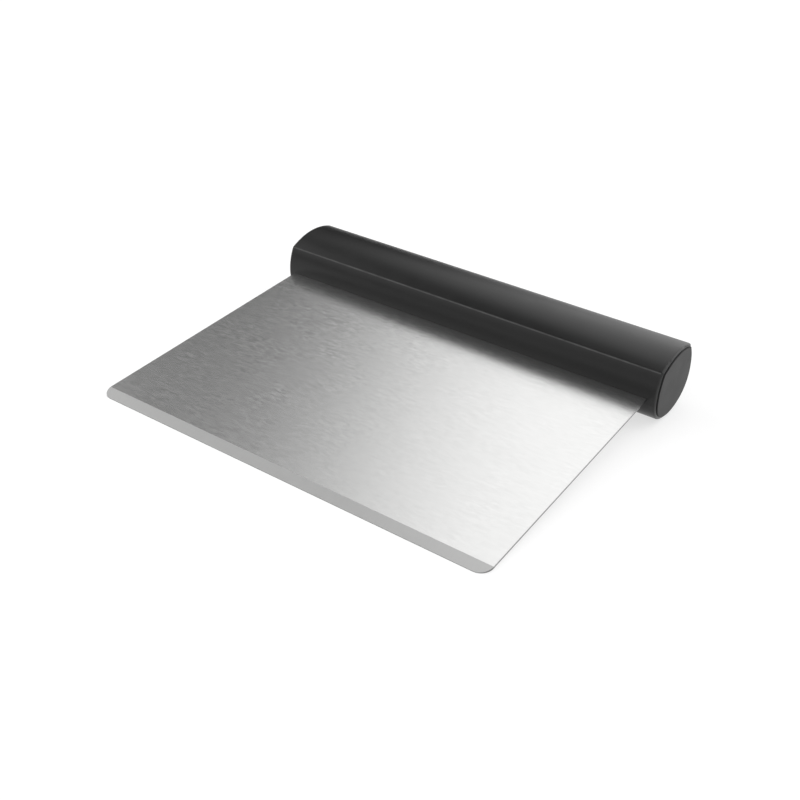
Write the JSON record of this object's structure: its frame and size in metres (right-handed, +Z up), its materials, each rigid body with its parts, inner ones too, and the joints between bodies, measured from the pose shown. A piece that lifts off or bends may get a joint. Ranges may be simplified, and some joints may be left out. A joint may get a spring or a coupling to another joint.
{
  "type": "pan scraper",
  "caption": "Flat stainless scraper blade with a bevelled front edge, held by its tang in a long matt plastic grip with a crowned top and closed ends.",
  "frame": {"origin": "on the table, under the middle of the box round the whole tool as it lies at rest", "axes": "+X along the grip, +Y from the blade's front edge to the grip, +Z up from the table"},
  "size_m": [0.1598, 0.1308, 0.0251],
  "materials": {
    "blade_steel": "fine brushed, satin",
    "grip_plastic": "soft matt, fine grain",
    "cap_plastic": "smooth matt"
  },
  "bodies": {
    "root": {"blade": "blade_steel", "grip": "grip_plastic", "left_end_cap": "cap_plastic", "right_end_cap": "cap_plastic"}
  },
  "joints": []
}
